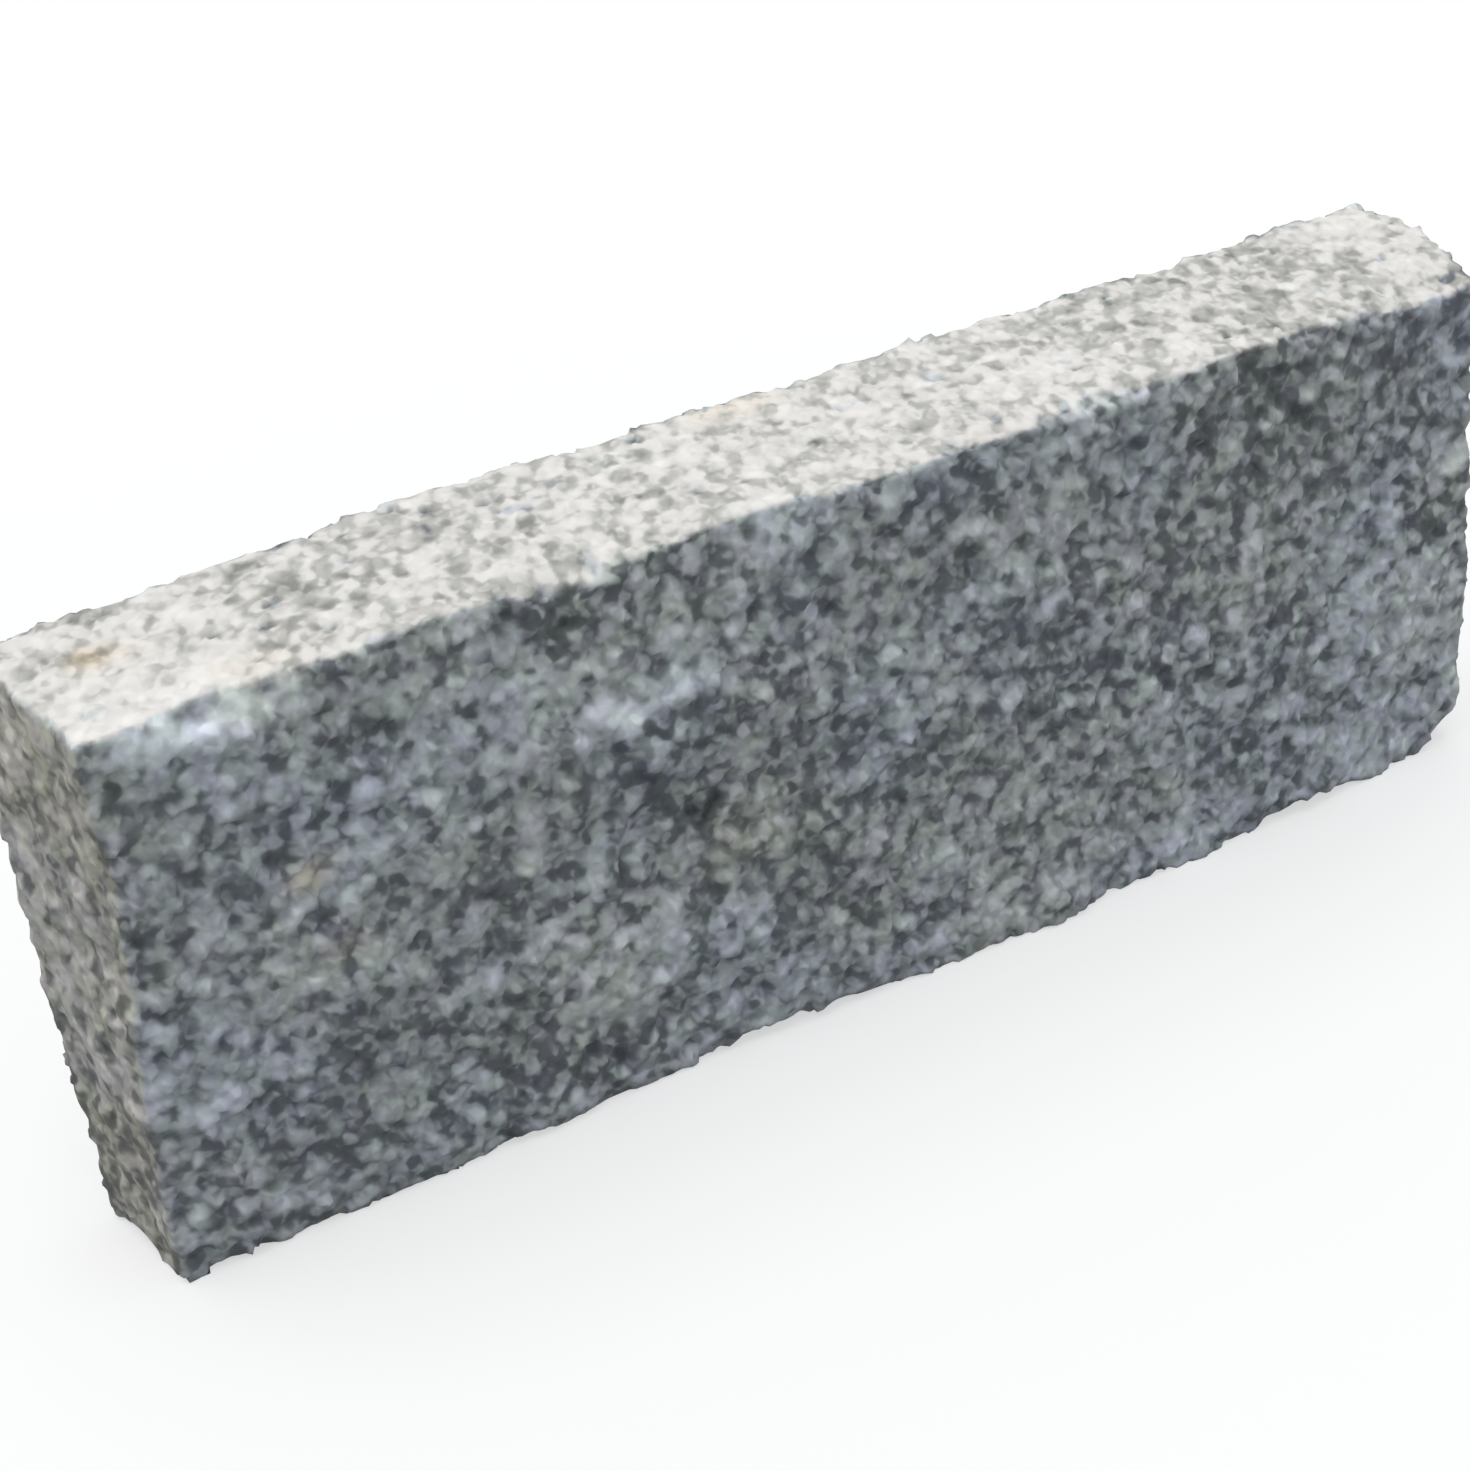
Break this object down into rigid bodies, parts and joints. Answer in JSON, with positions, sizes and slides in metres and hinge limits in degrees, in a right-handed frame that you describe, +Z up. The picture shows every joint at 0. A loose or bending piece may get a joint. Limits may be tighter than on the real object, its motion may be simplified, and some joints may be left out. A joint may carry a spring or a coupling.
{
  "type": "granite kerb stone",
  "caption": "Short natural granite kerb stone: an upright rectangular block with rough split sides and ends and a flat dressed top, standing on its narrow base.",
  "frame": {"origin": "on the base, under the middle of the stone's bounding box", "axes": "+X along the stone towards its right end, +Y from the front face to the back face, +Z up"},
  "size_m": [0.5454, 0.0828, 0.2015],
  "materials": {
    "granite": "split and bush-hammered light grey granite, medium grain, with black mica flecks"
  },
  "bodies": {
    "root": {"kerb_stone": "granite"}
  },
  "joints": []
}
